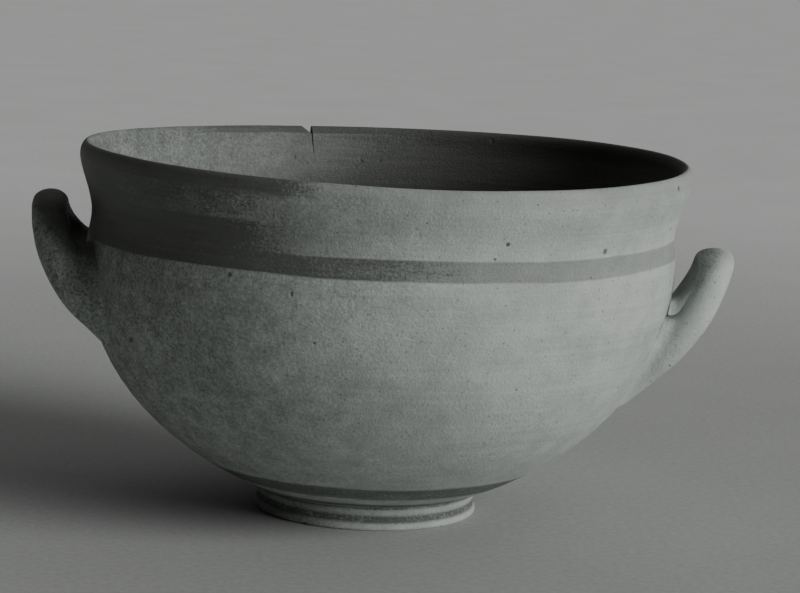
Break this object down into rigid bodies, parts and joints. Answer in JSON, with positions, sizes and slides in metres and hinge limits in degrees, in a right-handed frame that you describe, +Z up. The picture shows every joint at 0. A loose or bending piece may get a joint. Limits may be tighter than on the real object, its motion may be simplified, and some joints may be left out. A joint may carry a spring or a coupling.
{
  "type": "two-handled bowl",
  "caption": "Deep round bowl with an everted rounded lip, a slack neck, a ring foot and canted coil handles.",
  "frame": {"origin": "middle of the overall length and width on the surface that the ring foot stands on", "axes": "+X from the left handle to the right handle, +Z up through the mouth, -Y towards the side that the picture shows"},
  "size_m": [0.308, 0.2652, 0.1582],
  "materials": {
    "bowl_clay": "matt painted earthenware",
    "foot_clay": "matt earthenware with a dark painted stripe",
    "left_handle_clay": "matt worn dark paint on earthenware",
    "right_handle_clay": "matt worn dark paint on earthenware"
  },
  "bodies": {
    "root": {"bowl": "bowl_clay", "foot_ring": "foot_clay", "left_handle": "left_handle_clay", "right_handle": "right_handle_clay"}
  },
  "joints": []
}
